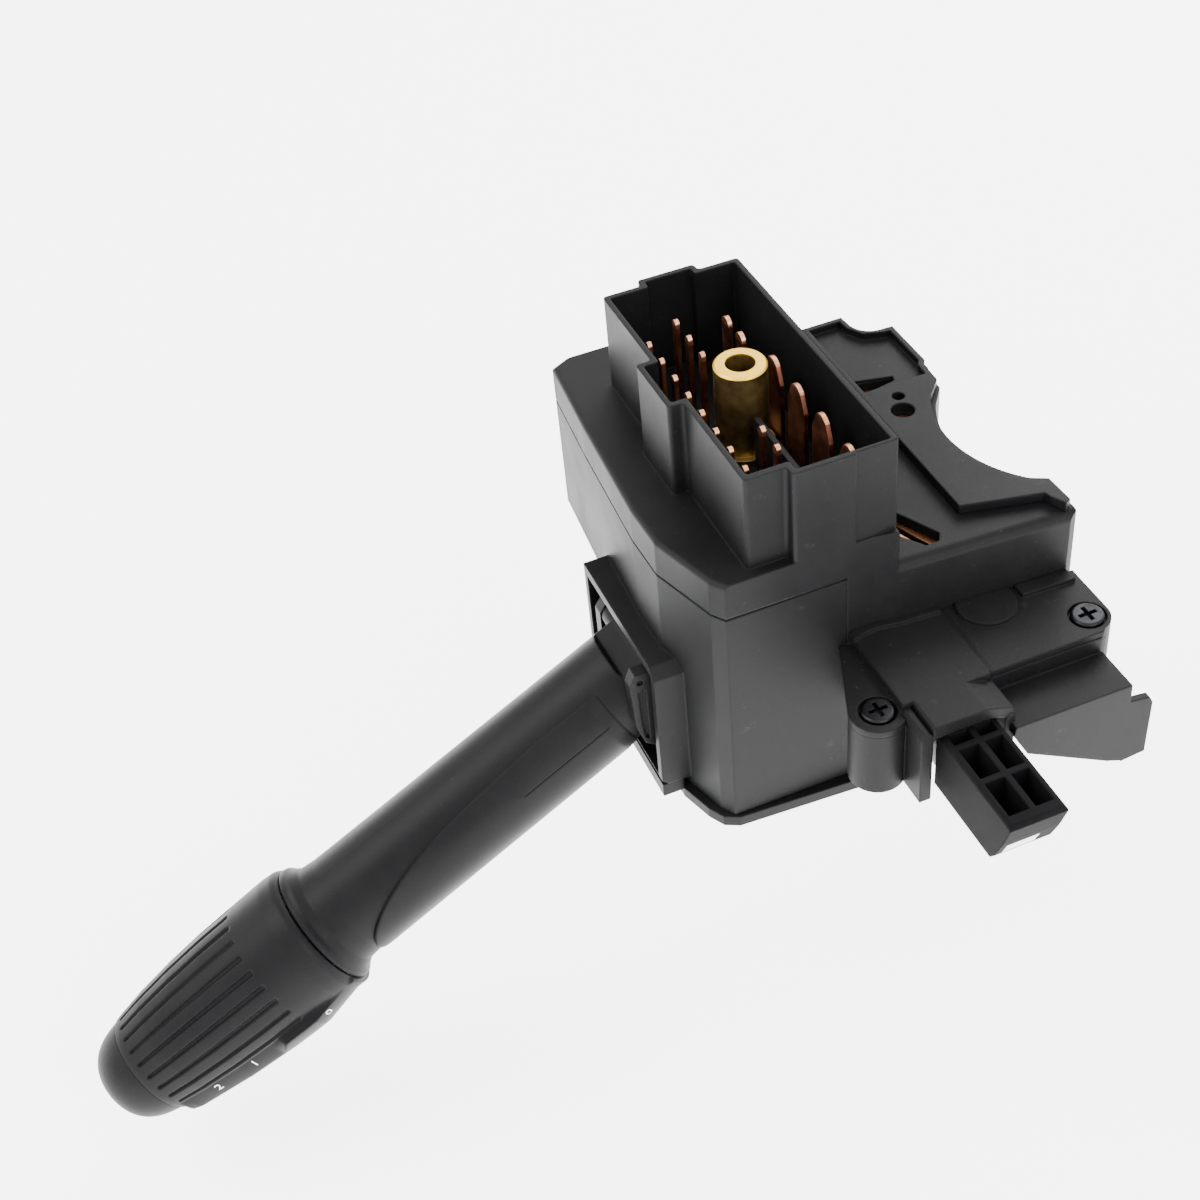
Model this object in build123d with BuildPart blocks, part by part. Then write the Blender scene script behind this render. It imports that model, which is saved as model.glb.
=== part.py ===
# Combination stalk switch of a steering column: a turn signal and flash stalk with a turning
# light knob, a wide connector on top, and a hazard push button at the side.
# Millimetres. Z runs along the steering column, the connector looks up. Y runs towards the
# column, the stalk leaves along -Y. X runs towards the hazard button.
# The origin is the middle of the flat seat under the column side of the housing.
from build123d import *
from math import cos, sin, tan, radians
import os

os.makedirs("parts", exist_ok=True)

# Driving dimensions
wall = 2.0
base_z = -26.9
seam_z = 21.2
low_seam_z = 5.85
seam_y = -25.5
deck_z = 28.3
right_deck_z = 21.0
shroud_z = 46.8
floor_z = 26.8
shroud_wall = 1.0
front_x = 32.0
shroud_right_y = -16.4
column_r = 24.0
column_x = 9.7
column_y = 31.4
web_low_z = 3.9
web_top_z = 5.9
window_x0 = -9.4
window_x1 = 19.9
window_z0 = -23.0
window_z1 = 1.95
frame_front_y = -57.2
frame_low_z = -24.5
cover_thick = 2.3
post_x = 5.2
post_y = -48.0
post_r = 2.5
running_gap = 0.06
swing_r = 18.0
pin_y = -54.4
pin_z = -4.6
pin_r = 1.3
cheek_in = 10.1
cheek_out = 12.6
rod_root_r = 9.75
rod_tip_r = 10.25
rod_length = 70.2
rim_gap = 0.4
plug_depth = 28.8
stalk_drop_deg = 28.0
stalk_yaw_deg = 1.2
flash_deg = 7.0
flute_count = 24
flute_r = 0.75
bush_x = -1.3
bush_y = -28.6
bush_r = 4.7
bush_bore_r = 2.65
pin_tip_z = 42.6
pin_foot_z = 20.0
pin_wide = 2.8
small_pin_wide = 1.6
blade_wide = 6.3
blade_thick = 0.8
board_z = 20.6
board_thick = 1.6
button_travel = 5.0
button_y = -16.25
hazard_top_z = 8.45
side_plate_z = 7.9
lobe_plate_z = 6.7
plate_thick = 1.3
lobe_thick = 2.3
hazard_x = 50.3
screw_a = (48.75, -28.6)
screw_b = (45.6, 12.9)
seat_hole_x = 20.0
seat_hole_r = 1.75

# The stalk axis: a point on it at the housing frame and its direction
drop = radians(stalk_drop_deg)
yaw = radians(stalk_yaw_deg)
stalk_root = Vector(post_x, -57.2, -11.96)
stalk_dir = Vector(sin(yaw) * cos(drop), -cos(yaw) * cos(drop), -sin(drop))
stalk_up = Vector(sin(yaw) * sin(drop), -cos(yaw) * sin(drop), cos(drop))
stalk_side = stalk_dir.cross(stalk_up)
stalk_axis = Axis(stalk_root, stalk_dir)

# The knob's rear rim and the inner end of its bore, as distances out along the stalk
knob_rear = rod_length + 2.2 + rim_gap
plug_from = knob_rear - plug_depth


# A plane that holds the stalk axis: its x runs out along the stalk, its y is the radius
# in the direction turned by the angle from straight up
def stalk_plane(angle_deg=0.0):
    turned = radians(angle_deg)
    radius_dir = stalk_up * cos(turned) + stalk_side * sin(turned)
    return Plane(origin=stalk_root, x_dir=stalk_dir, z_dir=stalk_dir.cross(radius_dir))


# A plane square to the stalk at a distance out along it
def stalk_square(distance):
    return Plane(origin=stalk_root + stalk_dir * distance, x_dir=stalk_up, z_dir=stalk_dir)


# As stalk_plane, but with its origin where the knob's rear rim is
def knob_plane(angle_deg=0.0):
    turned = radians(angle_deg)
    radius_dir = stalk_up * cos(turned) + stalk_side * sin(turned)
    return Plane(origin=stalk_root + stalk_dir * knob_rear, x_dir=stalk_dir,
                 z_dir=stalk_dir.cross(radius_dir))


# A box between two corners, added to or cut from the open part
def range_box(x0, x1, y0, y1, z0, z1, mode=Mode.ADD):
    with Locations(((x0 + x1) / 2, (y0 + y1) / 2, (z0 + z1) / 2)):
        Box(x1 - x0, y1 - y0, z1 - z0, mode=mode)


# The outline of the body seen from above, with the bay for the column
def body_edge():
    Polyline((25.35, 13.9), (27.0, 16.8), (33.8, 17.0), (34.6, 15.5), (32.8, -16.6), (32.0, -20.5),
             (front_x, -47.6), (29.5, -49.3), (16.3, -53.2), (6.4, -53.4), (-19.0, -51.9),
             (-38.0, -50.4), (-39.4, -47.8), (-39.4, -18.0), (-34.2, -14.0), (-34.2, 8.1),
             (-30.4, 8.3))
    ThreePointArc((-30.4, 8.3), (-28.2, 9.6), (-27.3, 12.0))
    Polyline((-27.3, 12.0), (-27.2, 15.1), (-13.65, 15.1), (-12.2, 14.2), (-7.3, 14.0),
             (-3.25, 10.9))
    ThreePointArc((-3.25, 10.9), (column_x, column_y - column_r), (25.35, 13.9))


# The deep room inside the left body, seen from above
deep_room = [(-11, -22), (30, -22), (30, -46.6), (28.6, -47.4), (16, -51.1), (6.4, -51.3),
             (-11, -50.1)]

# Window frame that stands out of the lower housing round the stalk root
with BuildPart() as window_frame:
    range_box(window_x0 - 1.5, window_x1 + 1.7, frame_front_y, -50, frame_low_z, web_low_z)
    near_top = window_frame.edges().filter_by(Axis.Y)
    chamfer(near_top.sort_by(lambda e: e.center().X + e.center().Z)[-1], 2.0)
    low_front = window_frame.edges().filter_by(Axis.X)
    chamfer(low_front.sort_by(lambda e: e.center().Y + e.center().Z)[0], 1.2)

# Lower housing: deep left body with the stalk window, shallow far end and column side
with BuildPart() as lower_housing:
    with BuildSketch(Plane.XY.offset(base_z)):
        with BuildLine():
            body_edge()
        make_face()
    extrude(amount=seam_z - base_z)
    range_box(-50, -13, -60, 30, base_z - 1, -3.5, Mode.SUBTRACT)
    range_box(-50, 50, -20, 30, base_z - 1, 1.0, Mode.SUBTRACT)
    range_box(-50, 50, seam_y, 30, low_seam_z, seam_z + 1, Mode.SUBTRACT)
    add(window_frame.part)
    # mechanism room, open below
    with BuildSketch(Plane.XY.offset(base_z)):
        Polygon(*deep_room, align=None)
    extrude(amount=web_low_z - base_z, mode=Mode.SUBTRACT)
    range_box(window_x0, window_x1, -58, -48, window_z0, window_z1, Mode.SUBTRACT)
    # contact room above the web
    with BuildSketch(Plane.XY.offset(web_top_z)):
        Polygon((-37.4, -20), (-37.4, -47), (-36.9, -48.4), (-19, -49.9), (6.4, -51.3),
                (16, -51.1), (28.6, -47.4), (30, -46.6), (30, -20), align=None)
    extrude(amount=20, mode=Mode.SUBTRACT)
    range_box(-37.4, -15, -48, -22, -1.5, web_top_z, Mode.SUBTRACT)
    # column side room
    with BuildSketch(Plane.XY.offset(3.0)):
        with BuildLine():
            body_edge()
        make_face()
        offset(amount=-wall, mode=Mode.REPLACE)
        with Locations((0, 1)):
            Rectangle(100, 38, mode=Mode.INTERSECT)
    extrude(amount=10, mode=Mode.SUBTRACT)
    # shadow groove along the seam and above the bottom cover
    with BuildSketch(Plane.XY.offset(seam_z - 0.4), Plane.XY.offset(base_z - 0.01)):
        with BuildLine():
            body_edge()
        make_face()
        with BuildLine():
            body_edge()
        make_face(mode=Mode.ADD)
        offset(amount=-0.35, mode=Mode.SUBTRACT)
    extrude(amount=0.41, mode=Mode.SUBTRACT)
    # seat pad and its two screw bosses
    with BuildSketch():
        with Locations((0, -3)):
            RectangleRounded(54, 15, 2)
    extrude(amount=1.0)
    with BuildSketch(Plane.XY.offset(1.0)):
        with Locations((-seat_hole_x, 0), (seat_hole_x, 0)):
            Circle(4.0)
    extrude(amount=11.0)
    with BuildSketch():
        with Locations((-seat_hole_x, 0), (seat_hole_x, 0)):
            Circle(seat_hole_r)
    extrude(amount=10.0, mode=Mode.SUBTRACT)
    # bosses for the bottom screws
    with BuildSketch(Plane.XY.offset(base_z)):
        with Locations((27, -44.5), (27, -25), (-8, -25)):
            Circle(3.4)
    extrude(amount=web_low_z - base_z + 0.5)
    with BuildSketch(Plane.XY.offset(base_z)):
        with Locations((27, -44.5), (27, -25), (-8, -25)):
            Circle(1.4)
    extrude(amount=12, mode=Mode.SUBTRACT)
    with BuildSketch(Plane.XY.offset(web_low_z)):
        with Locations((post_x, post_y)):
            Circle(post_r)
    extrude(amount=3, mode=Mode.SUBTRACT)
    # slot in the column bay for the cancel pawl
    range_box(6.5, 12.5, 0, 12, 3.0, low_seam_z, Mode.SUBTRACT)
lower_housing.part.label = "lower_housing"
export_step(lower_housing.part, "parts/lower_housing.step")

# Upper cover: left deck with the connector shroud, right deck and its front wall
with BuildPart() as upper_cover:
    with BuildSketch(Plane.XY.offset(low_seam_z)):
        with BuildLine():
            body_edge()
        make_face()
    extrude(amount=deck_z - low_seam_z)
    range_box(-50, 50, -60, seam_y, low_seam_z - 1, seam_z, Mode.SUBTRACT)
    range_box(-50, 50, shroud_right_y, 30, right_deck_z, deck_z + 1, Mode.SUBTRACT)
    rim = upper_cover.edges().filter_by_position(Axis.Z, deck_z - 0.01, deck_z + 0.01)
    fillet(rim.filter_by_position(Axis.Y, -54, -47.7), 0.9)
    rim = upper_cover.edges().filter_by_position(Axis.Z, right_deck_z - 0.01, right_deck_z + 0.01)
    fillet(rim.filter_by_position(Axis.X, 33.3, 34.1), 1.8)
    with BuildSketch(Plane.XY.offset(deck_z - 1)) as shroud_out:
        Polygon((29.9, -42.6), (29.9, -35.2), (front_x, -35.2), (front_x, -16.4), (-28.3, -16.4),
                (-28.3, -24.2), (-30.2, -24.2), (-30.2, -35.2), (-28.3, -35.2), (-28.3, -42.6),
                (-6.6, -42.6), (-6.6, -45.4), (6.9, -45.4), (6.9, -42.6), align=None)
        fillet(shroud_out.vertices(), 0.7)
    extrude(amount=shroud_z - deck_z + 1)
    # rooms below the decks
    with BuildSketch(Plane.XY.offset(low_seam_z - 1)):
        with BuildLine():
            body_edge()
        make_face()
        offset(amount=-wall, mode=Mode.REPLACE)
    extrude(amount=right_deck_z - wall - low_seam_z + 1, mode=Mode.SUBTRACT)
    with BuildSketch(Plane.XY.offset(right_deck_z - wall - 1)):
        Polygon((-37.4, -18.4), (-37.4, -47), (-36.9, -48.4), (-19, -49.9), (6.4, -51.3),
                (16, -51.1), (28.6, -47.4), (30, -46.6), (30, -18.4), align=None)
    extrude(amount=floor_z - right_deck_z + 1, mode=Mode.SUBTRACT)
    # spacers that hold the contact board
    with BuildSketch(Plane.XY.offset(board_z + board_thick)):
        with Locations((-32, -44), (-32, -21), (26, -44), (26, -21)):
            Circle(2.2)
    extrude(amount=4)
    # connector well
    with BuildSketch(Plane.XY.offset(floor_z)) as shroud_in:
        Polygon((28.7, -41.6), (28.7, -34.2), (31.0, -34.2), (31.0, -17.4), (-27.3, -17.4),
                (-27.3, -25.2), (-29.2, -25.2), (-29.2, -34.2), (-27.3, -34.2), (-27.3, -41.6),
                (-5.6, -41.6), (-5.6, -44.4), (5.9, -44.4), (5.9, -41.6), align=None)
        fillet(shroud_in.vertices(), 0.5)
    extrude(amount=shroud_z, mode=Mode.SUBTRACT)
    # rib in the well, from the bush to the near wall
    range_box(bush_x + bush_r + 1.3, 31.4, -29.1, -28.1, floor_z - 0.5, 37.3)
    # shallow recess on the near wall
    range_box(front_x - 0.4, 40, -24.0, -16.0, deck_z, shroud_z + 1, Mode.SUBTRACT)
upper_cover.part.label = "upper_cover"

# Places of the pins: rows run along X
left_row = [(-17.4 + 5.6 * i, -38.7) for i in range(8)]
middle_row = [(-20.3, -32.2), (-14.7, -32.2), (-9.1, -32.2), (14.7, -32.2), (20.2, -32.2)]
back_pair = [(-16.8, -23.9), (-11.2, -23.9)]
blade_row = [(-1.8, -22.1), (7.3, -22.1), (16.5, -22.1), (26.0, -22.1)]


# Flat pins with a rounded tip, standing through the floor and the board
def pin_group(places, tip_z, wide):
    with BuildPart() as group:
        for x, y in places:
            with BuildSketch(Plane.XZ.offset(-y)):
                with Locations((x, (pin_foot_z + tip_z - wide / 2) / 2)):
                    Rectangle(wide, tip_z - wide / 2 - pin_foot_z)
                with Locations((x, tip_z - wide / 2)):
                    Circle(wide / 2)
            extrude(amount=blade_thick / 2, both=True)
    return group.part


signal_pins = pin_group(left_row, pin_tip_z, small_pin_wide)
signal_pins.label = "signal_pins"
export_step(signal_pins, "parts/signal_pins.step")
middle_pins = pin_group(middle_row, pin_tip_z + 0.8, small_pin_wide)
middle_pins.label = "middle_pins"
export_step(middle_pins, "parts/middle_pins.step")
back_pins = pin_group(back_pair, pin_tip_z + 0.8, pin_wide)
back_pins.label = "back_pins"
export_step(back_pins, "parts/back_pins.step")

# Four wide power blades with tapered tips
with BuildPart() as power_blades:
    for x, y in blade_row:
        half = blade_wide / 2
        with BuildSketch(Plane.XZ.offset(-y)):
            with BuildLine():
                Polyline((x - half + 1.4, pin_tip_z), (x - half, pin_tip_z - 3.2),
                         (x - half, pin_foot_z), (x + half, pin_foot_z),
                         (x + half, pin_tip_z - 3.2), (x + half - 1.4, pin_tip_z))
                ThreePointArc((x + half - 1.4, pin_tip_z), (x, pin_tip_z + 0.9),
                              (x - half + 1.4, pin_tip_z))
            make_face()
        extrude(amount=blade_thick / 2, both=True)
power_blades.part.label = "power_blades"
export_step(power_blades.part, "parts/power_blades.step")

# Contact board below the connector floor
with BuildPart() as contact_board:
    range_box(-35, 28.5, -46.5, -19, board_z, board_z + board_thick)
    for x, y in left_row + middle_row:
        range_box(x - small_pin_wide / 2, x + small_pin_wide / 2, y - blade_thick / 2,
                  y + blade_thick / 2, board_z - 1, board_z + 3, Mode.SUBTRACT)
    for x, y in back_pair:
        range_box(x - pin_wide / 2, x + pin_wide / 2, y - blade_thick / 2, y + blade_thick / 2,
                  board_z - 1, board_z + 3, Mode.SUBTRACT)
    for x, y in blade_row:
        range_box(x - blade_wide / 2, x + blade_wide / 2, y - blade_thick / 2,
                  y + blade_thick / 2, board_z - 1, board_z + 3, Mode.SUBTRACT)
contact_board.part.label = "contact_board"
export_step(contact_board.part, "parts/contact_board.step")

# Slots in the decks of the upper cover: pin slots, contact windows, plate holes
with BuildPart() as upper_cover_done:
    add(upper_cover.part)
    for x, y in left_row + middle_row:
        range_box(x - small_pin_wide / 2, x + small_pin_wide / 2, y - blade_thick / 2,
                  y + blade_thick / 2, 20, floor_z + 1, Mode.SUBTRACT)
    for x, y in back_pair:
        range_box(x - pin_wide / 2, x + pin_wide / 2, y - blade_thick / 2, y + blade_thick / 2,
                  20, floor_z + 1, Mode.SUBTRACT)
    for x, y in blade_row:
        range_box(x - blade_wide / 2, x + blade_wide / 2, y - blade_thick / 2,
                  y + blade_thick / 2, 20, floor_z + 1, Mode.SUBTRACT)
    with BuildSketch(Plane.XY.offset(right_deck_z - wall - 1)):
        Polygon((20.7, -10.3), (28.6, -6.4), (30.3, -7.4), (30.4, -9.9), (26.4, -12.6),
                (24.6, -12.4), align=None)
    extrude(amount=5, mode=Mode.SUBTRACT)
    with BuildSketch(Plane.XY.offset(right_deck_z - wall - 1)):
        Polygon((-16.0, -0.9), (-11.3, -0.8), (-12.6, 7.4), (-13.9, 7.8), align=None)
    extrude(amount=5, mode=Mode.SUBTRACT)
    with BuildSketch(Plane.XY.offset(right_deck_z - wall - 1)):
        with Locations((-6.2, 4.7)):
            Circle(1.2)
        with Locations((-2.1, 3.4)):
            Circle(2.2)
    extrude(amount=5, mode=Mode.SUBTRACT)
upper_cover_done.part.label = "upper_cover"
export_step(upper_cover_done.part, "parts/upper_cover.step")

# Threaded brass bush that takes the screw of the mating connector
with BuildPart() as connector_bush:
    with BuildSketch(Plane.XY.offset(floor_z)):
        with Locations((bush_x, bush_y)):
            Circle(bush_r)
    extrude(amount=44.85 - floor_z)
    with BuildSketch(Plane.XY.offset(floor_z)):
        with Locations((bush_x, bush_y)):
            Circle(bush_r + 1.1)
    extrude(amount=1.4)
    chamfer(connector_bush.faces().sort_by(Axis.Z)[-1].edges(), 0.35)
    with BuildSketch(Plane.XY.offset(floor_z)):
        with Locations((bush_x, bush_y)):
            Circle(bush_bore_r)
    extrude(amount=30, mode=Mode.SUBTRACT)
connector_bush.part.label = "connector_bush"
export_step(connector_bush.part, "parts/connector_bush.step")

# Copper leaves below the window in the right deck
with BuildPart() as deck_contacts:
    with BuildSketch(Plane.XY.offset(right_deck_z - wall - 0.6)):
        Polygon((12.0, -14.6), (33.0 - 2.2, -7.2), (30.2, -5.6), (11.4, -13.0), align=None)
        Polygon((13.0, -17.2), (31.6 - 1.2, -10.2), (30.2, -8.7), (12.4, -15.6), align=None)
    extrude(amount=0.6)
deck_contacts.part.label = "deck_contacts"
export_step(deck_contacts.part, "parts/deck_contacts.step")

# Copper leaf below the wedge window in the tray
with BuildPart() as tray_contact:
    with BuildSketch(Plane.XY.offset(right_deck_z - wall - 0.6)):
        Polygon((-17.5, -4.0), (-12.8, -4.0), (-11.6, 9.4), (-14.6, 9.8), align=None)
    extrude(amount=0.6)
tray_contact.part.label = "tray_contact"
export_step(tray_contact.part, "parts/tray_contact.step")

# Copper rivet seen through the plate hole
with BuildPart() as plate_contact:
    with BuildSketch(Plane.XY.offset(right_deck_z - wall)):
        with Locations((-2.1, 3.4)):
            Circle(2.2)
    extrude(amount=1.2)
    with BuildSketch(Plane.XY.offset(right_deck_z - wall - 0.8)):
        with Locations((-2.1, 3.4)):
            Circle(3.2)
    extrude(amount=0.8)
plate_contact.part.label = "plate_contact"
export_step(plate_contact.part, "parts/plate_contact.step")

# Column plate: raised plate round the column bay and the shallow cable tray beside it
plate_top = right_deck_z + 2.0
with BuildPart() as column_plate:
    with BuildSketch(Plane.XY.offset(right_deck_z)):
        with BuildLine():
            Polyline((25.0, 13.1), (26.6, 15.9), (33.0, 16.1), (33.6, 15.0), (31.0, 13.6),
                     (29.6, 13.2), (26.0, -1.2), (-33.6, -1.2), (-33.6, 7.2), (-30.2, 7.5))
            ThreePointArc((-30.2, 7.5), (-27.6, 9.0), (-26.5, 12.0))
            Polyline((-26.5, 12.0), (-26.4, 14.4), (-13.8, 14.4), (-12.6, 13.6), (-7.5, 13.4),
                     (-3.9, 10.2))
            ThreePointArc((-3.9, 10.2), (column_x, column_y - column_r - 0.9), (25.0, 13.1))
        make_face()
    extrude(amount=plate_top - right_deck_z)
    # tray floor, lower than its rim
    with BuildSketch(Plane.XY.offset(right_deck_z + 0.5)):
        Polygon((-32.6, -0.2), (-32.6, 6.4), (-30.0, 6.6), (-26.8, 8.4), (-25.5, 12.0),
                (-25.4, 13.4), (-14.3, 13.4), (-13.1, 12.6), (-10.0, 12.4), (-10.0, -0.2),
                align=None)
    extrude(amount=5, mode=Mode.SUBTRACT)
    with BuildSketch(Plane.XY.offset(right_deck_z - 1)):
        Polygon((-16.0, -0.2), (-11.3, -0.2), (-12.6, 7.4), (-13.9, 7.8), align=None)
    extrude(amount=5, mode=Mode.SUBTRACT)
    with BuildSketch(Plane.XY.offset(right_deck_z - 1)):
        with Locations((-6.2, 4.7)):
            Circle(1.2)
        with Locations((-2.1, 3.4)):
            Circle(2.2)
    extrude(amount=5, mode=Mode.SUBTRACT)
column_plate.part.label = "column_plate"
export_step(column_plate.part, "parts/column_plate.step")

# Bottom cover with a tongue under the stalk window
screw_places = [(27, -44.5), (27, -25), (-8, -25)]
with BuildPart() as bottom_cover:
    with BuildSketch(Plane.XY.offset(base_z - cover_thick)):
        Polygon((-13.6, -20.4), (-13.6, -53.0), (21.6, -53.2), (28.2, -51.2), (31.2, -49.6),
                (32.6, -47.0), (33.8, -24.0), (33.6, -20.4), align=None)
    extrude(amount=cover_thick)
    # tongue under the window frame
    range_box(-10.7, 21.4, frame_front_y + 0.1, -53.0, base_z - 0.6, frame_low_z - 0.08)
    range_box(-10.7, 21.4, -56, -52.0, base_z - 0.6, base_z)
    with BuildSketch(Plane.XY.offset(base_z)):
        with BuildLine():
            body_edge()
        make_face()
        offset(amount=0.08)
    extrude(amount=5, mode=Mode.SUBTRACT)
    with BuildSketch(Plane.XY.offset(base_z - 1.3)):
        with Locations((post_x, post_y)):
            Circle(post_r)
    extrude(amount=2, mode=Mode.SUBTRACT)
    with BuildSketch(Plane.XY.offset(base_z - cover_thick)):
        with Locations(*screw_places):
            Circle(1.4)
    extrude(amount=5, mode=Mode.SUBTRACT)
    with BuildSketch(Plane.XY.offset(base_z - cover_thick)):
        with Locations(*screw_places):
            Circle(2.9)
    extrude(amount=1.3, mode=Mode.SUBTRACT)
bottom_cover.part.label = "bottom_cover"
export_step(bottom_cover.part, "parts/bottom_cover.step")

# Three screws that hold the bottom cover
with BuildPart() as bottom_screws:
    with BuildSketch(Plane.XY.offset(base_z - cover_thick + 0.1)):
        with Locations(*screw_places):
            Circle(2.7)
    extrude(amount=1.2)
    with BuildSketch(Plane.XY.offset(base_z - 1.0)):
        with Locations(*screw_places):
            Circle(1.4)
    extrude(amount=12.0)
    with BuildSketch(Plane.XY.offset(base_z - cover_thick + 0.1)):
        with Locations(*screw_places):
            Rectangle(3.0, 0.6)
            Rectangle(0.6, 3.0)
    extrude(amount=0.7, mode=Mode.SUBTRACT)
bottom_screws.part.label = "bottom_screws"
export_step(bottom_screws.part, "parts/bottom_screws.step")

# Steel post that the turn carrier swings on
with BuildPart() as pivot_post:
    with BuildSketch(Plane.XY.offset(base_z - 1.3)):
        with Locations((post_x, post_y)):
            Circle(post_r)
    extrude(amount=web_top_z - base_z + 1.3)
pivot_post.part.label = "pivot_post"
export_step(pivot_post.part, "parts/pivot_post.step")

# Turn carrier: block on the post, two cheeks for the stalk, arm for the detent plunger
with BuildPart() as turn_carrier:
    range_box(post_x - cheek_out, post_x + cheek_out, -51.5, -40, -22, 0.9)
    with BuildSketch(Plane.YZ.offset(post_x + cheek_in)) as near_cheek:
        Polygon((-50.0, 0.9), (-59.3, 0.9), (-60.4, -1.6), (-59.8, -11.7), (-58.4, -16.2),
                (-55.6, -18.2), (-50.0, -18.2), align=None)
        fillet(near_cheek.vertices().sort_by(Axis.Y)[:5], 0.9)
    extrude(amount=cheek_out - cheek_in)
    with BuildSketch(Plane.YZ.offset(post_x - cheek_out)) as far_cheek:
        Polygon((-50.0, -1.5), (-55.4, -1.5), (-57.0, -4.0), (-57.0, -12.0), (-54.6, -18.2),
                (-50.0, -18.2), align=None)
        fillet(far_cheek.vertices().sort_by(Axis.Y)[:4], 0.9)
    extrude(amount=cheek_out - cheek_in)
    # groove and small blind hole in the near cheek
    with BuildSketch(Plane.YZ.offset(post_x + cheek_out - 0.5)):
        Polygon((-58.9, -3.2), (-57.5, -3.2), (-57.5, -15.4), (-58.2, -14.8), (-58.6, -11.7),
                align=None)
        with Locations((-58.4, -1.1)):
            Circle(0.6)
    extrude(amount=1, mode=Mode.SUBTRACT)
    range_box(post_x - 4.5, post_x + 4.5, -41, -34.5, -15.5, -6.5)
    with BuildSketch(Plane.XY.offset(-30)):
        with Locations((post_x, post_y)):
            Circle(post_r + running_gap)
    extrude(amount=40, mode=Mode.SUBTRACT)
    with BuildSketch(Plane.YZ.offset(post_x)):
        with Locations((pin_y, pin_z)):
            Circle(pin_r)
    extrude(amount=20, both=True, mode=Mode.SUBTRACT)
    # pockets for the detent plunger and the flash plunger
    with BuildSketch(Plane.XZ.offset(34.0)):
        with Locations((post_x, -11)):
            Circle(2.46)
    extrude(amount=10.4, mode=Mode.SUBTRACT)
    with BuildSketch(Plane.XZ.offset(43.0)):
        with Locations((post_x + 6.0, -14)):
            Circle(2.26)
    extrude(amount=12, mode=Mode.SUBTRACT)
turn_carrier.part.label = "turn_carrier"
export_step(turn_carrier.part, "parts/turn_carrier.step")


# A coil spring that starts in the given plane and runs along its normal
def coil_spring(start, length, radius, wire, turns):
    with BuildPart() as coil:
        with BuildLine() as path:
            Helix(pitch=length / turns, height=length, radius=radius)
        with BuildSketch(Plane(origin=path.line @ 0, z_dir=path.line % 0)):
            Circle(wire / 2)
        sweep(is_frenet=True)
    return coil.part.moved(start.location)


detent_spring = coil_spring(Plane((post_x, -43.2, -11), z_dir=(0, 1, 0)), 3.6, 1.7, 0.5, 4)
detent_spring.label = "detent_spring"
export_step(detent_spring, "parts/detent_spring.step")
flash_spring = coil_spring(Plane((post_x + 6.0, -49.5, -14), z_dir=(0, 1, 0)), 4.6, 1.5, 0.5, 4)
flash_spring.label = "flash_spring"
export_step(flash_spring, "parts/flash_spring.step")

# Plunger that runs along the detent track
tip_y = post_y + swing_r
with BuildPart() as detent_plunger:
    with BuildSketch(Plane.YZ.offset(post_x)):
        with BuildLine():
            Polyline((tip_y, -11), (-39.3, -11), (-39.3, -8.6), (tip_y - 2.4, -8.6))
            CenterArc((tip_y - 2.4, -11), 2.4, 0, 90)
        make_face()
    revolve(axis=Axis((post_x, 0, -11), (0, 1, 0)))
detent_plunger.part.label = "detent_plunger"
export_step(detent_plunger.part, "parts/detent_plunger.step")

# Curved track with three notches for the turn positions
with BuildPart() as detent_track:
    range_box(post_x - 8.5, post_x + 8.5, -36, -22, -15, -7)
    with BuildSketch(Plane.XY.offset(-16)):
        with Locations((post_x, post_y)):
            Circle(swing_r + 0.1)
    extrude(amount=10, mode=Mode.SUBTRACT)
    with BuildSketch(Plane.XY.offset(-16)):
        with Locations((post_x, post_y)):
            with PolarLocations(swing_r + 0.9, 3, start_angle=81, angular_range=18,
                                endpoint=True):
                Circle(1.3)
    extrude(amount=10, mode=Mode.SUBTRACT)
detent_track.part.label = "detent_track"
export_step(detent_track.part, "parts/detent_track.step")

# Pin that the stalk tilts on for the flash signal
with BuildPart() as tilt_pin:
    with BuildSketch(Plane.YZ.offset(post_x - cheek_out)):
        with Locations((pin_y, pin_z)):
            Circle(pin_r)
    extrude(amount=2 * cheek_out)
tilt_pin.part.label = "tilt_pin"
export_step(tilt_pin.part, "parts/tilt_pin.step")

# Copper wiper on top of the carrier and the fixed contacts under the web
with BuildPart() as carrier_wiper:
    range_box(post_x - 9, post_x + 9, -44.8, -41.2, 0.9, 1.3)
    with BuildSketch(Plane.XY.offset(1.3)):
        with Locations((post_x - 7, -43), (post_x + 7, -43)):
            Circle(1.1)
    extrude(amount=2.2)
carrier_wiper.part.label = "carrier_wiper"
export_step(carrier_wiper.part, "parts/carrier_wiper.step")
with BuildPart() as turn_contacts:
    for middle in (-8.2, -1.5, 5.2, 11.9, 18.6):
        range_box(middle - 2.8, middle + 2.8, -45.4, -40.6, web_low_z - 0.3, web_low_z)
turn_contacts.part.label = "turn_contacts"
export_step(turn_contacts.part, "parts/turn_contacts.step")

# Leaf shape that stands a little out of the stalk on the driver side
with BuildPart() as stalk_leaf:
    with BuildSketch(stalk_plane(-110)):
        Polygon((4.5, 0), (4.5, rod_root_r + 0.2), (7, rod_root_r + 0.6),
                (rod_length - 0.2, rod_tip_r + 0.6), (rod_length - 0.2, 0), align=None)
    revolve(axis=stalk_axis)
    with BuildSketch(stalk_plane(-110)):
        with BuildLine():
            Line((3, 2.9), (18, 2.9))
            Spline((18, 2.9), (35.5, 4.0), (47.3, 5.4), (59.8, 8.45), (66, 10.9))
            Polyline((66, 10.9), (66, 14), (3, 14), (3, 2.9))
        make_face()
    extrude(amount=14, both=True, mode=Mode.INTERSECT)

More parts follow.
